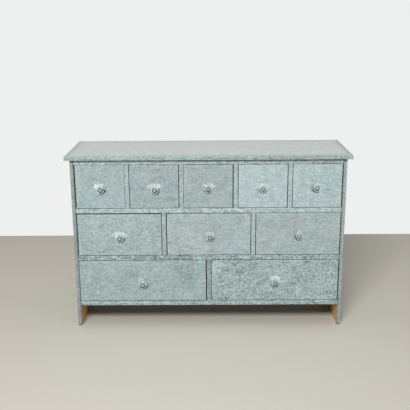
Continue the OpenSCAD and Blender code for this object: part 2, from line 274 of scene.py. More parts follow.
def bevelled_block(shape, low, high, edge):
    """Adds a block with broken edges to a shape, and gives the block's faces."""
    before = set(shape.faces)
    cube = bmesh.ops.create_cube(shape, size=1,
        matrix=Matrix.Translation((low + high) / 2) @ Matrix.Diagonal((*(high - low), 1)))
    edges = {e for vert in cube["verts"] for e in vert.link_edges}
    bmesh.ops.bevel(shape, geom=list(edges), offset=edge, segments=2, profile=0.5,
        affect="EDGES")
    return [face for face in shape.faces if face not in before]


def boards(name, nodes, body, edge=board_edge, wood=case_pine):
    """One bevelled board for each solid of the nodes, each cut from its own place in a log."""
    shape = bmesh.new()
    grain = shape.verts.layers.float_vector.new("grain")
    for count, (low, high) in enumerate(box for node in nodes for box in solids(node)):
        size, middle = high - low, (low + high) / 2
        along, across, through = sorted(range(3), key=lambda axis: -size[axis])
        luck = noise.cell_vector(middle * luck_cells)
        faces = bevelled_block(shape, low, high, edge)
        for vert in {vert for face in faces for vert in face.verts}:
            spot = vert.co - middle
            tilt = grain_tilt * (luck.y - 0.5) * spot[along]
            vert[grain] = (spot[along] + log_shift[0] * luck.x + count,
                spot[across] + log_shift[1] * (luck.y - 0.5) + tilt,
                spot[through] + pith_gap + log_shift[2] * luck.z + tilt)
            if size[through] < plywood_under:
                vert[grain].z = vert.co[through] - low[through]
        if size[through] < plywood_under:
            for face in faces:
                face.material_index = 1
    mesh = bpy.data.meshes.new(name)
    shape.to_mesh(mesh)
    shape.free()
    mesh.materials.append(wood)
    mesh.materials.append(plywood)
    piece = place_piece(name, mesh)
    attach(piece, body)
    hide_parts(*nodes)


for node in case_boards:
    boards(node + "_pine", [node], "case")
boards("top_board_pine", ["top_board"], "case", edge=top_board_edge)


# The back panel. One sheet of thin plywood stands between the side boards and is nailed to
# the shelves and to the back rail.
boards("back_panel_plywood", ["back_panel"], "case")


# The zinc over the top. A flat blank of galvanised sheet is cut out at its corners and
# folded down over all four edges of the top board. Years of use have left it pale, smooth
# and faintly streaked along its length, with shallow dents.
sheet = 0.0008
top_bend = 0.003
top_zinc = (197, 201, 198)
top_edge_zinc = (156, 170, 168)
edge_mottle = 1.2
dent_depth = 0.0005
dent_size = 0.13
dent_margin = 0.05
# rows of points in a blank: their gap on the flat, how far before a fold the last ones lie,
# how many go round the bend and at which shares of the flap the rest lie
row_gap = 0.012
rows_before_fold = (0.02, 0.008, 0.003, 0)
rows_on_bend = 4
rows_on_flap = (0.12, 0.3, 0.6, 0.97, 1)
# the half size for a direction without folds, which no point of a blank reaches
unfolded = 10
# painted shade for the gaps sets in over this width at a fold, and then fades over this length of
# the flap
gap_shade_soft = 0.0009
gap_shade_reach = 0.012
# painted shade hangs from this height up, under the overhang of the top
overhang_shade_from = 0.767
overhang_shade_soft = 0.0035
# how a sheet's tone drifts from place to place, in steps of 0 to 255
bluer, warmer = (-2.5, 0.5, 2), (2, -1, -1)
# the sizes of the patterns that weather leaves on zinc
cloud_size, field_size, hue_size = 0.11, 0.16, 0.09
spot_size, grain_size, grit_size = 0.026, 0.010, 0.0016
brush_size, feather_size, crystal_sway = 0.004, 0.0014, 0.009


def clamp(value):
    """A value held between 0 and 1."""
    return max(0, min(1, value))


def fold_rows(half, flap, bend):
    """Places of a blank's rows, close together at the folds, from one edge to the other."""
    if not flap:
        count = math.ceil(2 * half / row_gap)
        return [half * (2 * k / count - 1) for k in range(count + 1)]
    start, turn = half - bend, bend * math.pi / 2
    near = [start - gap for gap in rows_before_fold]
    count = math.ceil(2 * near[0] / row_gap)
    middle = [near[0] * (2 * k / count - 1) for k in range(1, count)]
    out = near + [start + turn * k / rows_on_bend for k in range(1, rows_on_bend + 1)]
    out += [start + turn + (flap - bend) * share for share in rows_on_flap]
    return [-place for place in reversed(out)] + middle + out


def blank(width, height, flaps, bend, rub_reach, gap_shade_from):
    """A flat blank of sheet with its corners cut out, lying in X and Y."""
    halves = (width / 2, height / 2)
    us, vs = (fold_rows(half, flap, bend) for half, flap in zip(halves, flaps))
    ends = [half - bend + bend * math.pi / 2 if flap else half
        for half, flap in zip(halves, flaps)]
    faces = []
    for j in range(len(vs) - 1):
        for i in range(len(us) - 1):
            u, v = abs(us[i] + us[i + 1]) / 2, abs(vs[j] + vs[j + 1]) / 2
            if u < ends[0] or v < ends[1]:
                corner = j * len(us) + i
                faces.append((corner, corner + 1, corner + 1 + len(us), corner + len(us)))
    mesh = bpy.data.meshes.new("blank")
    mesh.from_pydata([(u, v, 0) for v in vs for u in us], [], faces)
    flat = mesh.uv_layers.new(name="UVMap")
    for loop in mesh.loops:
        flat.uv[loop.index].vector = mesh.vertices[loop.vertex_index].co.xy
    rub = mesh.attributes.new("rub", "FLOAT", "POINT")
    grime = mesh.attributes.new("grime", "FLOAT", "POINT")
    for vert in mesh.vertices:
        past = max(abs(place) - half for place, half, flap in
            zip(vert.co, halves, flaps) if flap)
        rub.data[vert.index].value = math.exp(min(past, 0) / rub_reach)
        # painted shade on the far part of each flap, inside the gaps
        past -= gap_shade_from
        grime.data[vert.index].value = clamp(min(past / gap_shade_soft, 1.25 - past / gap_shade_reach))
    return mesh


def geometry_tree(name, sizes):
    """An empty Geometry Nodes tree with named sizes, and the functions that add nodes."""
    tree = bpy.data.node_groups.new(name, "GeometryNodeTree")
    tree.interface.new_socket("Geometry", in_out="INPUT", socket_type="NodeSocketGeometry")
    for size in sizes:
        tree.interface.new_socket(size, in_out="INPUT", socket_type="NodeSocketFloat")
    tree.interface.new_socket("Finish", in_out="INPUT", socket_type="NodeSocketMaterial")
    tree.interface.new_socket("Geometry", in_out="OUTPUT", socket_type="NodeSocketGeometry")
    add, calc = toolbox(tree)
    return tree, add("NodeGroupInput").outputs, add, calc


def close_tree(add, shape, finish):
    """The last nodes of every tree."""
    real = add("GeometryNodeRealizeInstances", {0: shape}).outputs[0]
    coated = add("GeometryNodeSetMaterial", {"Geometry": real, "Material": finish})
    add("NodeGroupOutput", {0: coated.outputs[0]})


def settle(piece):
    """Turns what the piece's modifiers make into its own plain mesh, and removes them."""
    depsgraph = bpy.context.evaluated_depsgraph_get()
    plain = bpy.data.meshes.new_from_object(
        piece.evaluated_get(depsgraph), preserve_all_data_layers=True, depsgraph=depsgraph)
    plain.name = piece.name
    piece.modifiers.clear()
    piece.data = plain


def grow(name, mesh, tree, sizes, finish):
    """Runs a tree on a mesh with the given sizes, and keeps the result as a plain mesh."""
    piece = place_piece(name, mesh)
    modifier = piece.modifiers.new("shape", "NODES")
    modifier.node_group = tree
    for item in tree.interface.items_tree:
        if item.in_out == "INPUT" and item.name in sizes:
            modifier[item.identifier] = sizes[item.name]
        if item.name == "Finish":
            modifier[item.identifier] = finish
    settle(piece)
    return piece


# Folding: past the start of a bend a point goes round the bend's radius and then straight
# back, and dents are pressed into the face between the folds.
folding, sizes, add, calc = geometry_tree(
    "fold_sheet", ["Half width", "Half height", "Bend", "Dent", "Dent size", "Seed"])
spot = add("ShaderNodeSeparateXYZ", {0: add("GeometryNodeInputPosition").outputs[0]}).outputs
bend = sizes["Bend"]
turn = calc("MULTIPLY", bend, math.pi / 2)
folded, backs, faces = [], [], []
for place, half in ((spot["X"], sizes["Half width"]), (spot["Y"], sizes["Half height"])):
    start = calc("SUBTRACT", half, bend)
    past = calc("MAXIMUM", calc("SUBTRACT", calc("ABSOLUTE", place), start), 0)
    angle = calc("DIVIDE", calc("MINIMUM", past, turn), bend)
    reach = calc("MULTIPLY_ADD", bend, calc("SINE", angle),
        calc("MINIMUM", calc("ABSOLUTE", place), start))
    round_back = calc("MULTIPLY", bend, calc("SUBTRACT", 1, calc("COSINE", angle)))
    folded.append(calc("MULTIPLY", calc("SIGN", place), reach))
    backs.append(calc("ADD", round_back, calc("MAXIMUM", calc("SUBTRACT", past, turn), 0)))
    inside = calc("SUBTRACT", start, calc("ABSOLUTE", place))
    faces.append(calc("MINIMUM", calc("DIVIDE", calc("MAXIMUM", inside, 0), dent_margin), 1))
flat_spot = add("GeometryNodeInputPosition").outputs[0]
dents = add("ShaderNodeTexNoise", {"Vector": flat_spot, "W": sizes["Seed"], "Detail": 1,
    "Scale": calc("DIVIDE", 1, sizes["Dent size"])}, noise_dimensions="4D").outputs[0]
pressed = calc("MULTIPLY", calc("MULTIPLY", dents, sizes["Dent"]), calc("MULTIPLY", *faces))
depth = calc("ADD", calc("ADD", *backs), pressed)
new_spot = add("ShaderNodeCombineXYZ", {0: folded[0], 1: folded[1],
    2: calc("MULTIPLY", depth, -1)}).outputs[0]
bent = add("GeometryNodeSetPosition", {"Geometry": sizes["Geometry"], "Position": new_spot})
close_tree(add, bent.outputs[0], sizes["Finish"])


def zinc_coat(name, tone, seed, warm, mottle, cloud=0.24, brush=0.25, speckle=0.0,
              spotty=0.35, crystal=0.009, edge=0.06, edge_tone=None, grime=0.95, overhang_shade=0.0,
              stains=(), fan=None, knob_shadow=None, rough=0.52):
    """Weathered galvanised sheet: clouds, small patches and crystals over a dull grey."""
    material, shader, add, calc = coat(name)
    flat = add("ShaderNodeUVMap", uv_map="UVMap").outputs[0]
    place = add("ShaderNodeMapping",
        {"Vector": flat, "Location": (seed * 1.31, seed * 0.77, 0)}).outputs[0]

    def patches(size, detail, bend=0.0, stretch=(1, 1, 1), at=place):
        spread = add("ShaderNodeMapping", {"Vector": at, "Scale": stretch}).outputs[0]
        return add("ShaderNodeTexNoise", {"Vector": spread, "Scale": 1 / size,
            "Detail": detail, "Distortion": bend}, noise_dimensions="2D").outputs[0]

    def centred(value, weight, base):
        return calc("MULTIPLY_ADD", calc("SUBTRACT", value, 0.5), weight, base)

    # crystals, each with its own tone and its own direction of fine feathering
    sway = add("ShaderNodeTexNoise", {"Vector": place, "Scale": 120, "Detail": 2}).outputs[1]
    sway = add("ShaderNodeVectorMath", {0: sway, 1: (0.5, 0.5, 0.5)}, operation="SUBTRACT")
    sway = add("ShaderNodeVectorMath", {0: sway.outputs[0], "Scale": crystal_sway},
        operation="SCALE")
    ragged = add("ShaderNodeVectorMath", {0: place, 1: sway.outputs[0]}).outputs[0]
    pick, fleck = [add("ShaderNodeSeparateColor", {0: add("ShaderNodeTexVoronoi",
        {"Vector": ragged, "Scale": 1 / size}, voronoi_dimensions="2D").outputs["Color"]}).outputs
        for size in (crystal, 0.55 * crystal)]
    turned = add("ShaderNodeVectorRotate", {"Vector": place,
        "Angle": calc("MULTIPLY", pick[1], math.pi)}, rotation_type="Z_AXIS").outputs[0]
    feather = patches(feather_size, 1, 0, (0.3, 1, 1), turned)

    # clouds, spots, grains and grit, then the streaks of a wiping cloth both ways
    clouds = patches(cloud_size, 3, 0.8)
    spots = patches(spot_size, 3, 0.8, (0.7, 1.2, 1))
    grains = patches(grain_size, 3, 0.3, (0.75, 1.15, 1))
    grit = patches(grit_size, 2)
    shade = centred(clouds, cloud, 1)
    shade = centred(spots, mottle * 0.4, shade)
    shade = centred(grains, mottle * 0.5, shade)
    shade = centred(fleck[0], mottle * 0.36, shade)
    shade = centred(pick[0], mottle * 0.2, shade)
    shade = centred(feather, mottle * 0.6, shade)
    shade = centred(grit, mottle * 0.4, shade)
    along = patches(brush_size, 3, 0, (0.06, 1, 1))
    across = patches(brush_size, 3, 0, (1, 0.08, 1))
    shade = centred(along, brush, centred(across, brush * 0.5, shade))
    # dark pits, in fields or in stains round a point
    pits = add("ShaderNodeMapRange", {"Value": calc("MULTIPLY_ADD", grains, 0.8, fleck[2]),
        "From Min": 0.95, "From Max": 1.25}).outputs[0]
    if speckle:
        field = add("ShaderNodeMapRange", {"Value": patches(field_size, 2, 0.5),
            "From Min": spotty, "From Max": spotty + 0.2, "To Max": speckle}).outputs[0]
        shade = calc("SUBTRACT", shade, calc("MULTIPLY", pits, field))
    for x, z, reach, depth in stains:
        far = add("ShaderNodeVectorMath", {0: flat, 1: (x, z, 0)}, operation="DISTANCE")
        soft = add("ShaderNodeMapRange", {"Value": far.outputs["Value"], "From Min": reach,
            "From Max": 0, "To Max": depth}, interpolation_type="SMOOTHSTEP").outputs[0]
        shade = calc("SUBTRACT", shade, calc("MULTIPLY", soft, calc("ADD", pits, 0.3)))
    # wear along a strip, rubbing on the folds, and painted shade behind them in the gaps
    worn = add("ShaderNodeAttribute", attribute_name="worn").outputs["Fac"]
    shade = calc("MULTIPLY_ADD", calc("SUBTRACT", shade, 1),
        calc("MULTIPLY_ADD", worn, -1.5, 1), calc("ADD", worn, 1))
    rubbed = add("ShaderNodeAttribute", attribute_name="rub").outputs["Fac"]
    if not edge_tone:
        shade = calc("MULTIPLY_ADD", rubbed, edge, shade)
    hidden = calc("MULTIPLY", add("ShaderNodeAttribute", attribute_name="grime").outputs["Fac"],
        grime)
    shade = calc("MULTIPLY", shade, calc("SUBTRACT", 1, hidden))
    # the sheet's own tone, a little bluer in some places and warmer in others
    hue = add("ShaderNodeMapRange", {"Value": patches(hue_size, 3, 0.8),
        "From Min": 0.75 - 0.5 * warm, "From Max": 0.95 - 0.5 * warm}).outputs[0]
    cool, mild = [colour(*map(sum, zip(tone, drift))) for drift in (bluer, warmer)]
    tint = add("ShaderNodeMix", {0: hue, 6: cool, 7: mild}, data_type="RGBA").outputs[2]
    if edge_tone:
        uneven = centred(fleck[0], 0.36, centred(spots, 0.4, centred(grains, 0.5, 0)))
        shade = calc("MULTIPLY_ADD", calc("MULTIPLY", uneven, edge_mottle), rubbed, shade)
        tint = add("ShaderNodeMix", {0: calc("MINIMUM", calc("MULTIPLY", rubbed, edge), 1),
            6: tint, 7: colour(*edge_tone)}, data_type="RGBA").outputs[2]
    coat_colour = add("ShaderNodeVectorMath", {0: tint, "Scale": shade},
        operation="SCALE").outputs[0]
    # light that a glass knob throws: a soft patch, broken up by the crystals under it
    if fan:
        x, z, half_wide, half_high, shine = fan
        off = add("ShaderNodeVectorMath", {0: flat, 1: (x, z, 0)}, operation="SUBTRACT")
        off = add("ShaderNodeVectorMath", {0: off.outputs[0],
            1: (1 / half_wide, 1 / half_high, 1)}, operation="MULTIPLY").outputs[0]
        far = add("ShaderNodeVectorMath", {0: off}, operation="LENGTH").outputs["Value"]
        far = centred(grains, -0.6, centred(spots, -0.8, far))
        rim = add("ShaderNodeMapRange", {"Value": far, "From Min": 1.2, "From Max": 0.6,
            "To Max": shine}).outputs[0]
        bright = add("ShaderNodeMapRange", {"Value": calc("MULTIPLY_ADD", fleck[1], -0.6,
            calc("MULTIPLY_ADD", pick[1], -0.3, rim)), "From Min": -0.3, "From Max": 0.45,
            "To Max": 0.92}).outputs[0]
        coat_colour = add("ShaderNodeMix", {0: calc("MULTIPLY", bright, calc("MINIMUM",
            calc("MULTIPLY", rim, 4), 1)), 6: coat_colour, 7: colour(*thrown_tone)},
            data_type="RGBA").outputs[2]
    # painted shadow of a knob on the zinc: a soft ring, strongest on one side
    if knob_shadow:
        x, z, side, depth = knob_shadow
        off = add("ShaderNodeVectorMath", {0: flat, 1: (x, z, 0)}, operation="SUBTRACT").outputs[0]
        far = add("ShaderNodeVectorMath", {0: off}, operation="LENGTH").outputs["Value"]
        on_ring = add("ShaderNodeMapRange", {"Value": calc("ABSOLUTE",
            calc("SUBTRACT", centred(grains, 0.002, far), knob_shadow_r)), "From Min": knob_shadow_half,
            "From Max": 0, "To Max": depth}, interpolation_type="SMOOTHSTEP").outputs[0]
        way = add("ShaderNodeVectorMath", {0: off, 1: (math.cos(side), math.sin(side), 0)},
            operation="DOT_PRODUCT").outputs["Value"]
        below = add("ShaderNodeMapRange", {"Value": calc("DIVIDE", way, far),
            "From Min": -0.3, "From Max": 0.5}).outputs[0]
        coat_colour = add("ShaderNodeVectorMath", {0: coat_colour, "Scale":
            calc("MULTIPLY_ADD", calc("MULTIPLY", on_ring, below), -1, 1)},
            operation="SCALE").outputs[0]
    # painted shade under the overhang of the top
    if overhang_shade:
        height = add("ShaderNodeSeparateXYZ", {0: add("ShaderNodeTexCoord").outputs["Object"]})
        soft = add("ShaderNodeMapRange", {"Value": height.outputs["Z"], "From Min": overhang_shade_from,
            "From Max": overhang_shade_from + overhang_shade_soft, "To Min": 1, "To Max": 1 - overhang_shade}).outputs[0]
        coat_colour = add("ShaderNodeVectorMath", {0: coat_colour, "Scale": soft},
            operation="SCALE").outputs[0]
    dull = calc("MULTIPLY_ADD", rubbed, 0.2,
        centred(spots, 0.3, centred(grains, 0.25, rough)))
    # where the gaps have painted shade, the sheet turns to rough dark metal, so it shows no sheen
    # there
    metal = calc("MULTIPLY_ADD", hidden, 0.65, 0.35)
    bump = add("ShaderNodeBump", {"Strength": 0.2, "Distance": 0.0004,
        "Height": calc("ADD", grains, calc("MULTIPLY", calc("ADD", grit, feather), 0.4))})
    feed(shader, {"Base Color": coat_colour, "Metallic": metal,
        "Roughness": calc("MULTIPLY_ADD", hidden, 0.4, dull), "Normal": bump.outputs[0]})
    return material


def folded_sheet(name, node, body, place, width, height, flaps, bend, finish, seed,
                 rub_reach=0.006, gap_shade_from=-gap_shade_soft):
    """A folded sheet that stands for a cladding node; place turns it out of X and Y."""
    halves = [size / 2 if flap else unfolded for size, flap in zip((width, height), flaps)]
    piece = grow(name, blank(width, height, flaps, bend, rub_reach, gap_shade_from), folding,
        {"Half width": halves[0], "Half height": halves[1], "Bend": bend,
         "Dent": dent_depth, "Dent size": dent_size, "Seed": seed}, finish)
    skin = piece.modifiers.new("skin", "SOLIDIFY")
    skin.thickness = sheet
    skin.offset = -1
    skin.use_even_offset = True
    settle(piece)
    piece.data.transform(place)
    piece.data.shade_smooth()
    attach(piece, body)
    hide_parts(node)


low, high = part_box("top_cladding")
folded_sheet("top_zinc", "top_cladding", "case",
    Matrix.Translation(((low.x + high.x) / 2, (low.y + high.y) / 2, high.z)),
    high.x - low.x, high.y - low.y, [high.z - low.z] * 2, top_bend,
    zinc_coat("zinc_top", top_zinc, seed=3, warm=0.6, cloud=0.14, mottle=0.4, brush=0.3,
        edge=1.4, edge_tone=top_edge_zinc, grime=0, rough=0.45), seed=1.5, rub_reach=0.012)


# The zinc on the two sides. One sheet covers the outer face of each side board and is
# folded round its front and back edges, where it shows as a narrow upright strip.
side_bend = 0.0014
side_zinc = {"left": (165, 178, 175), "right": (170, 184, 182)}
# how much darker each side's folded front strip is
side_front_worn = {"left": -0.2, "right": -0.12}
for side, out in (("left", -1), ("right", 1)):
    node = side + "_side_cladding"
    low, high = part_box(node)
    middle = (low + high) / 2
    upright = Matrix(((0, 0, out), (out, 0, 0), (0, 1, 0))).to_4x4()
    folded_sheet(side + "_side_zinc", node, "case",
        Matrix.Translation((low.x if out < 0 else high.x, middle.y, middle.z)) @ upright,
        high.y - low.y, high.z - low.z, [high.x - low.x, 0], side_bend,
        zinc_coat("zinc_" + side, side_zinc[side], seed=11 + out, warm=0.6, mottle=0.8,
            edge=side_front_worn[side], overhang_shade=0.8), seed=5 + out,
        gap_shade_from=high.x - low.x - side_bend)


# The zinc strips. Narrow strips of the same sheet cover the front edges of the shelves, the
# front rail and the dividers. Each is held by a few small nails, and has weathered in its
# own way from end to end.
strip_edge = 0.0005
# a hair's width, to tell what lies in one plane from what lies behind it
hair = 1e-5
rail_zinc = (172, 188, 188)
divider_zinc = (176, 192, 192)
# how worn a rail's strip is at its two ends, and a divider's all along: darker and more
# patchy under 0, paler and smoother over 0
rail_worn = [(-0.11, -0.07), (-0.25, -0.07), (0.01, 0.08), (0.03, 0.0)]
divider_worn = [-0.08, -0.17, -0.15, -0.26, -0.04, -0.03, 0.0]


def strips(name, node, wear, finish):
    """A flat strip with broken edges for each solid, worn differently from end to end."""
    shape = bmesh.new()
    flat = shape.loops.layers.uv.new("UVMap")
    worn = shape.verts.layers.float.new("worn")
    grime = shape.verts.layers.float.new("grime")
    for count, ((low, high), (start, end)) in enumerate(zip(solids(node), wear)):
        size, middle = high - low, (low + high) / 2
        for face in bevelled_block(shape, low, high, strip_edge):
            for loop in face.loops:
                spot = loop.vert.co - middle
                loop.vert[worn] = end if spot.x > 0 else start
                # painted shade on every face behind the strip's front, in the gaps
                loop.vert[grime] = loop.vert.co.y > low.y + hair
                along, across = (spot.x, spot.z) if size.x > size.z else (spot.z, spot.x)
                loop[flat].uv = (along + 1.7 * count, across + 0.9 * count)
    mesh = bpy.data.meshes.new(name)
    shape.to_mesh(mesh)
    shape.free()
    mesh.materials.append(finish)
    piece = place_piece(name, mesh)
    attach(piece, "case")
    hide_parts(node)


strips("rail_strips", "rail_claddings", rail_worn,
    zinc_coat("zinc_rails", rail_zinc, seed=23, warm=0.45, mottle=1.4, brush=0.7, overhang_shade=0.85))
strips("divider_strips", "divider_claddings", [(wear, wear) for wear in divider_worn],
    zinc_coat("zinc_dividers", divider_zinc, seed=31, warm=0.5, mottle=0.8, brush=0.25))


# Nails and screws. Small round-headed nails hold the zinc strips and the back panel; each
# is driven home with its own slight lean. The case screws lie under the side sheets.
nail_head_d = 0.0036
nail_head_flat = 0.33
nail_head_rise = 0.0006
nail_shank_d = 0.0016
nail_shank_l = 0.016
nail_lean = 0.06
steel_tone = (176, 182, 180)

steel, shader, add, _ = coat("zinc_plated_steel")
wear = add("ShaderNodeTexNoise", {"Scale": 900, "Detail": 3, "Vector":
    add("ShaderNodeTexCoord").outputs["Object"]}).outputs[0]
shade = add("ShaderNodeMapRange", {"Value": wear, "To Min": 0.75, "To Max": 1.2}).outputs[0]
feed(shader, {"Metallic": 0.8, "Base Color": add("ShaderNodeVectorMath",
    {0: colour(*steel_tone)[:3], "Scale": shade}, operation="SCALE").outputs[0],
    "Roughness": add("ShaderNodeMapRange",
    {"Value": wear, "To Min": 0.3, "To Max": 0.55}).outputs[0]})

nailing, sizes, add, calc = geometry_tree(
    "drive_nails", ["Head width", "Shank width", "Shank length", "Lean", "Turn", "Seed"])
half_head = calc("DIVIDE", sizes["Head width"], 2)
dome = add("GeometryNodeMeshUVSphere", {"Segments": 12, "Rings": 6, "Radius": half_head})
dome = add("GeometryNodeTransform", {"Geometry": dome.outputs[0], "Scale": (1, 1, nail_head_flat)})
shank = add("GeometryNodeMeshCylinder", {"Vertices": 8,
    "Radius": calc("DIVIDE", sizes["Shank width"], 2), "Depth": sizes["Shank length"]})
sunk = add("ShaderNodeCombineXYZ", {2: calc("MULTIPLY", sizes["Shank length"], -0.5)})
shank = add("GeometryNodeTransform", {"Geometry": shank.outputs[0],
    "Translation": sunk.outputs[0]})
nail = add("GeometryNodeJoinGeometry")
for part in (shank, dome):
    nail.id_data.links.new(part.outputs[0], nail.inputs[0])
leans = add("FunctionNodeRandomValue", {"Seed": sizes["Seed"], 0: (-1, -1, -1), 1: (1, 1, 1)},
    data_type="FLOAT_VECTOR").outputs[0]
leans = add("ShaderNodeVectorMath", {0: leans, "Scale": sizes["Lean"]}, operation="SCALE")
turned = add("ShaderNodeVectorMath", {0: leans.outputs[0], 1:
    add("ShaderNodeCombineXYZ", {0: sizes["Turn"]}).outputs[0]}).outputs[0]
driven = add("GeometryNodeInstanceOnPoints", {"Points": sizes["Geometry"],
    "Instance": nail.outputs[0], "Rotation": turned})
close_tree(add, driven.outputs[0], sizes["Finish"])

for node, front, seed in (("cladding_nails", True, 4), ("back_panel_nails", False, 9)):
    heads = bpy.data.meshes.new(node)
    heads.from_pydata([((low.x + high.x) / 2,
        low.y + nail_head_rise if front else high.y - nail_head_rise,
        (low.z + high.z) / 2) for low, high in solids(node)], [], [])
    piece = grow(node + "_driven", heads, nailing, {"Head width": nail_head_d,
        "Shank width": nail_shank_d, "Shank length": nail_shank_l, "Lean": nail_lean,
        "Turn": math.pi / 2 if front else -math.pi / 2, "Seed": seed}, steel)
    piece.data.shade_smooth()
    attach(piece, "case")
    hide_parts(node)

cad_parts["case_screws"].data.materials.clear()
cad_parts["case_screws"].data.materials.append(steel)


# The drawers. Each is a box of thin pine sides and back behind a thicker front board, with
# a plywood bottom held in grooves. A zinc pan is folded back over the front board, and no
# two sheets have weathered alike: some are bluish, some warm, and one is darkly speckled.
front_bend = 0.0016

# How each pan has weathered. A stain has its place on the pan, its reach and its depth
drawer_zinc = {
    "top_drawer_1": {"tone": (166, 181, 182), "warm": 0.3, "mottle": 0.68, "brush": 0.35},
    "top_drawer_2": {"tone": (160, 174, 175), "warm": 0.5, "mottle": 0.8, "brush": 0.4},
    "top_drawer_3": {"tone": (164, 177, 178), "warm": 0.5, "mottle": 0.62, "brush": 0.55},
    "top_drawer_4": {"tone": (181, 195, 197), "warm": 0.3, "mottle": 0.66, "brush": 0.4},
    "top_drawer_5": {"tone": (180, 195, 197), "warm": 0.3, "mottle": 0.66, "brush": 0.5},
    "middle_drawer_1": {"tone": (167, 182, 183), "warm": 0.45, "mottle": 0.95, "brush": 0.4},
    "middle_drawer_2": {"tone": (170, 184, 186), "warm": 0.6, "mottle": 0.78, "brush": 0.5},
    "middle_drawer_3": {"tone": (170, 185, 186), "warm": 0.65, "mottle": 0.66, "brush": 0.5},
    "bottom_drawer_1": {"tone": (166, 181, 182), "warm": 0.4, "mottle": 0.75, "brush": 0.6,
        "stains": [(0.19, 0.035, 0.085, 0.3), (-0.05, 0.03, 0.03, 0.25),
                   (-0.25, -0.02, 0.06, 0.12)]},
    "bottom_drawer_2": {"tone": (174, 191, 192), "warm": 0.35, "mottle": 1.4, "brush": 0.4,
        "crystal": 0.006, "speckle": 0.4, "spotty": 0.3,
        "stains": [(-0.13, 0.06, 0.1, 0.15), (0.13, 0.07, 0.1, 0.12)]},
}

# The light that each glass knob throws on the zinc over it: the middle of the patch from
# the knob's axis, half its width and height, and how bright it is
thrown_tone = (235, 238, 240)
thrown_light = {
    "top_drawer_1": (-0.006, 0.010, 0.027, 0.015, 1.0),
    "top_drawer_2": (-0.005, 0.014, 0.027, 0.014, 0.8),
    "top_drawer_3": (0.002, 0.012, 0.026, 0.013, 0.6),
    "top_drawer_4": (0.001, 0.013, 0.026, 0.012, 0.7),
    "top_drawer_5": (0.002, 0.014, 0.022, 0.013, 0.35),
    "middle_drawer_1": (-0.002, 0.012, 0.032, 0.015, 0.9),
    "middle_drawer_2": (0, 0.011, 0.024, 0.013, 0.6),
    "middle_drawer_3": (0.001, 0.010, 0.018, 0.012, 0.5),
    "bottom_drawer_1": (-0.007, 0.014, 0.02, 0.012, 0.55),
    "bottom_drawer_2": (0.003, 0.011, 0.024, 0.017, 1.2),
}

# The painted shade round each knob: the side that it lies on in degrees, how strong it is in
# the glass's ring groove and how strong on the zinc just below the flower, as a painted shadow.
# There it lies in a ring, whose middle hangs a little lower under the knobs of the lower rows
knob_shadow_r = 0.0205
knob_shadow_half = 0.0036
knob_shadow_drop = {"top": 0.003, "middle": 0.0045, "bottom": 0.006}
knob_shade = {
    "top_drawer_1": (-45, 1.0, 0.75),
    "top_drawer_2": (-70, 1.0, 0.75),
    "top_drawer_3": (-90, 1.0, 0.65),
    "top_drawer_4": (-90, 0.9, 0.55),
    "top_drawer_5": (-125, 0.9, 0.65),
    "middle_drawer_1": (-70, 1.0, 0.9),
    "middle_drawer_2": (-70, 1.0, 0.75),
    "middle_drawer_3": (-120, 0.9, 0.65),
    "bottom_drawer_1": (-75, 1.0, 0.95),
    "bottom_drawer_2": (-90, 1.0, 0.95),
}

upright_front = Matrix.Rotation(math.pi / 2, 4, "X")
for seed, (drawer, look) in enumerate(drawer_zinc.items()):
    boards(drawer + "_boards", [drawer + "_box"], drawer, wood=pine)
    low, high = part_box(drawer + "_cladding")
    middle = (low + high) / 2
    axis = sum(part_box(drawer + "_knob"), Vector()) / 2
    x, z, half_wide, half_high, shine = thrown_light[drawer]
    off_x, off_z = axis.x - middle.x, axis.z - middle.z
    fan = (off_x + x, off_z + z, half_wide, half_high, shine)
    side, _, on_zinc = knob_shade[drawer]
    # the painted shadow ring round this drawer's knob
    knob_shadow = (off_x, off_z - knob_shadow_drop[drawer.split("_")[0]], math.radians(side), on_zinc)
    folded_sheet(drawer + "_zinc", drawer + "_cladding", drawer,
        Matrix.Translation((middle.x, low.y, middle.z)) @ upright_front,
        high.x - low.x, high.z - low.z, [high.y - low.y] * 2, front_bend,
        zinc_coat("zinc_" + drawer, seed=40 + 7 * seed, fan=fan, knob_shadow=knob_shadow, **look),
        seed=20 + seed)


# The glass knobs. Each is a clear pressed-glass flower of six petals with a round dish in
# its front, drilled for a bolt. They were screwed up by hand, so they stand turned this way
# and that, and painted shade darkens the groove round the bolt's head and the lower rims.
petals = 6
petal_r = 0.008
petal_ring = 0.0125
glass_foot = 0.0075
glass_front = 0.0125
glass_seat = 0.0062
glass_bore = 0.0023
ring_groove = (0.0104, 0.0092, 0.0083)
ring_depth = 0.003
ring_lip = 0.0003
ring_floor = (0.0004, 0.0005)
dish_depth = 0.001
glass_rim = (0.006, 0.009)
# the depth of the creases between petals, how far round they reach, and their share at the
# outline and on the back
crease = 0.0016
crease_turn = 0.13
crease_rim = 0.4
crease_back = -0.5
around = 120
glass_tone = (238, 251, 250)
glass_shade_tone = (22, 36, 36)
shaded_rim = 0.0055

glass, shader, add, calc = coat("clear_pressed_glass")
ripple = add("ShaderNodeTexNoise", {"Scale": 260, "Detail": 1, "Vector":
    add("ShaderNodeTexCoord").outputs["Object"]}).outputs[0]
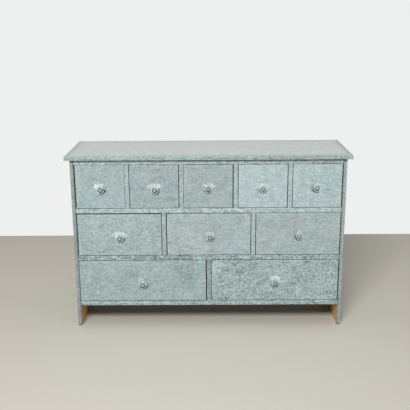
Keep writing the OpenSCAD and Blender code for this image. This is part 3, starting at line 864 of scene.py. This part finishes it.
# painted shade: darker, less clear glass in the ring groove and on the lower rims
soiled = add("ShaderNodeAttribute", attribute_name="soiled").outputs["Fac"]
feed(shader, {"IOR": 1.5, "Base Color": add("ShaderNodeMix", {0: soiled,
    6: colour(*glass_tone), 7: colour(*glass_shade_tone)}, data_type="RGBA").outputs[2],
    "Transmission Weight": calc("MULTIPLY_ADD", soiled, -0.75, 0.8),
    "Specular IOR Level": calc("MULTIPLY_ADD", soiled, -0.45, 0.5),
    "Roughness": calc("MULTIPLY_ADD", soiled, 0.5, add("ShaderNodeMapRange",
    {"Value": ripple, "To Min": 0.05, "To Max": 0.16}).outputs[0]),
    "Normal": add("ShaderNodeBump", {"Strength": 0.05, "Distance": 0.0003,
    "Height": ripple}).outputs[0]})


def petal_reach(angle):
    """Distance from the axis to the flower's outline, and how near a crease the angle is."""
    off = (angle + math.pi / petals) % (2 * math.pi / petals) - math.pi / petals
    side = petal_ring * math.sin(off)
    reach = petal_ring * math.cos(off) + math.sqrt(max(petal_r**2 - side**2, 0))
    return reach, math.exp(-((math.pi / petals - abs(off)) / crease_turn) ** 2)


def ellipse(middle_r, middle_z, half_r, half_z, first, last, steps):
    """Points of an elliptical arc in a half section, by angles in degrees."""
    turns = [math.radians(first + (last - first) * k / steps) for k in range(steps + 1)]
    return [(middle_r + half_r * math.cos(t), middle_z + half_z * math.sin(t)) for t in turns]


def glass_profile(reach, near, thick):
    """Half section of the glass at one angle, from the back of the bore to its front."""
    rim = reach - crease_rim * crease * near
    back_z, front_z = glass_rim
    points = [(glass_bore, 0)]
    points += ellipse(glass_foot, back_z, rim - glass_foot, -back_z, 90, 0, 6)
    points += ellipse(glass_front, front_z, rim - glass_front, thick - front_z, 0, 90, 9)
    outer, low, inner = ring_groove
    deep, dish = thick - ring_depth, thick - dish_depth
    wide, rise = ring_floor
    points += [(outer, thick), (outer - ring_lip, thick - ring_lip), (low + wide, deep + rise),
        (low, deep), (low - wide, deep + rise), (inner, dish), (glass_seat, dish),
        (glass_bore, dish)]
    shaped = []
    for r, z in points:
        past_groove = clamp((r - outer) / (rim - outer))
        sink = crease * near * past_groove * (1 if z > back_z else crease_back)
        shaped.append((r, z - sink))
    return shaped


def revolve(name, sections):
    """A closed skin over sections at even turns; each section is a list of (r, z)."""
    turns, count = len(sections), len(sections[0])
    points = [(r * math.cos(2 * math.pi * t / turns), r * math.sin(2 * math.pi * t / turns), z)
        for t, section in enumerate(sections) for r, z in section]
    faces = []
    for t in range(turns):
        for k in range(count):
            a, b = t * count + k, t * count + (k + 1) % count
            c, d = ((t + 1) % turns) * count + (k + 1) % count, ((t + 1) % turns) * count + k
            faces.append((a, d, c, b))
    mesh = bpy.data.meshes.new(name)
    mesh.from_pydata(points, [], faces)
    return mesh


def tidy_mesh(mesh):
    """Merges poles and turns all faces outward."""
    shape = bmesh.new()
    shape.from_mesh(mesh)
    bmesh.ops.remove_doubles(shape, verts=shape.verts, dist=weld)
    bmesh.ops.recalc_face_normals(shape, faces=shape.faces)
    shape.to_mesh(mesh)
    shape.free()


for drawer in drawer_zinc:
    node = drawer + "_knob"
    low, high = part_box(node)
    axis, thick = (low + high) / 2, high.y - low.y
    swing = sum(((v.co.x - axis.x) + 1j * (v.co.z - axis.z)) ** petals
        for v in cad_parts[node].data.vertices)
    lead = math.atan2(swing.imag, swing.real) / petals
    sections = []
    for step in range(around):
        reach, near = petal_reach(2 * math.pi * step / around - lead)
        sections.append(glass_profile(reach, near, thick))
    mesh = revolve(node, sections)
    tidy_mesh(mesh)
    soiled = mesh.attributes.new("soiled", "FLOAT", "POINT")
    side, in_groove, _ = knob_shade[drawer]
    # painted shade in the ring groove and along the outline on the lower side
    for vert in mesh.vertices:
        out, angle = math.hypot(vert.co.x, vert.co.y), math.atan2(vert.co.y, vert.co.x)
        groove = ring_groove[2] - hair < out < ring_groove[0] + hair and vert.co.z > thick / 2
        to_rim = (petal_reach(angle - lead)[0] - out) / shaded_rim
        below = clamp(0.3 + 1.4 * math.cos(angle - math.radians(side)))
        soiled.data[vert.index].value = max(in_groove * groove, below * clamp(2 - 2 * to_rim))
    mesh.transform(Matrix.Translation((axis.x, high.y, axis.z)) @ upright_front)
    mesh.shade_smooth()
    mesh.materials.append(glass)
    piece = place_piece(drawer + "_glass_flower", mesh)
    piece.visible_shadow = False
    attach(piece, drawer)
    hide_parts(node)


# The knob fittings. A waisted base of dull silver plate carries the glass off the drawer,
# and a bolt with a domed head goes through both and the front board to a washer and nut.
base_half = (0.012, 0.0055, 0.0075)
base_height = 0.010
base_foot = 0.0015
base_edge = 0.0002
arc_steps = 8
button_half = 0.005
button_height = 0.004
button_rim = 0.001
bolt_half = 0.002
bolt_hole = 0.0023
washer_half = 0.007
washer_thick = 0.001
washer_gap = 0.0001
nut_hole = 0.00205
nut_half = 0.0035 / math.cos(math.pi / 6)
nut_thick = 0.0032
bolt_tail = 0.002
around_base, around_bolt, around_washer, around_nut = 64, 48, 40, 6
plate_tone = (176, 190, 189)
tarnish_and_shade_tone = (122, 139, 138)

plate, shader, add, calc = coat("dull_silver_plate")
spot = add("ShaderNodeTexCoord").outputs["Object"]
clouds = add("ShaderNodeTexNoise", {"Scale": 160, "Detail": 4, "Vector": spot}).outputs[0]
# painted shade on the waist and neck of the base, under the glass, added to cloudy tarnish
hollow = add("ShaderNodeAttribute", attribute_name="hollow").outputs["Fac"]
tarnish_and_shade = calc("ADD", hollow, add("ShaderNodeMapRange", {"Value": clouds, "From Min": 0.45,
    "From Max": 0.75, "To Max": 0.5}).outputs[0])
feed(shader, {"Metallic": 0.6, "Base Color": add("ShaderNodeMix", {0: tarnish_and_shade,
    6: colour(*plate_tone), 7: colour(*tarnish_and_shade_tone)}, data_type="RGBA").outputs[2],
    "Roughness": add("ShaderNodeMapRange",
    {"Value": clouds, "To Min": 0.35, "To Max": 0.6}).outputs[0]})


def lathe(points, turns):
    """A closed turned shape from the half section that goes round it."""
    mesh = revolve("turned", [points] * turns)
    tidy_mesh(mesh)
    return mesh


for drawer in drawer_zinc:
    node = drawer + "_knob_bolt"
    low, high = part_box(node)
    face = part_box(drawer + "_cladding")[0].y
    axis = sum(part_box(drawer + "_knob"), Vector()) / 2
    head_z = face - low.y - button_height
    tail_z = face - high.y
    nut_z = tail_z + bolt_tail
    washer_z = nut_z + nut_thick + washer_gap
    foot, waist, neck = base_half
    middle = (base_foot + base_height) / 2
    base = [(bolt_hole, 0), (foot - base_edge, 0), (foot, base_edge)]
    base += ellipse(foot, middle, foot - waist, middle - base_foot, 270, 180, arc_steps)
    base += ellipse(neck, middle, neck - waist, base_height - middle, 180, 90, arc_steps)[1:]
    base += [(bolt_hole, base_height)]
    bolt = [(0, tail_z), (bolt_half, tail_z), (bolt_half, head_z), (button_half, head_z)]
    bolt += ellipse(0, head_z + button_rim, button_half, button_height - button_rim, 0, 90,
        arc_steps)
    washer = [(bolt_hole, washer_z), (washer_half, washer_z),
        (washer_half, washer_z + washer_thick), (bolt_hole, washer_z + washer_thick)]
    nut = [(nut_hole, nut_z), (nut_half, nut_z), (nut_half, nut_z + nut_thick),
        (nut_hole, nut_z + nut_thick)]
    shape = bmesh.new()
    for part, turns in ((base, around_base), (bolt, around_bolt), (washer, around_washer),
                        (nut, around_nut)):
        shape.from_mesh(lathe(part, turns))
    mesh = bpy.data.meshes.new(node)
    shape.to_mesh(mesh)
    shape.free()
    # painted shade on the waist and neck
    hollow = mesh.attributes.new("hollow", "FLOAT", "POINT")
    for vert in mesh.vertices:
        outside = math.hypot(vert.co.x, vert.co.y) > bolt_half * 1.1
        hollow.data[vert.index].value = outside and base_foot < vert.co.z < base_height + hair
    mesh.transform(Matrix.Translation((axis.x, face, axis.z)) @ upright_front)
    mesh.materials.append(plate)
    mesh.shade_smooth()
    mesh.set_sharp_from_angle(angle=math.radians(35))
    piece = place_piece(drawer + "_knob_fittings", mesh)
    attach(piece, drawer)
    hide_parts(node)


bpy.context.view_layer.update()
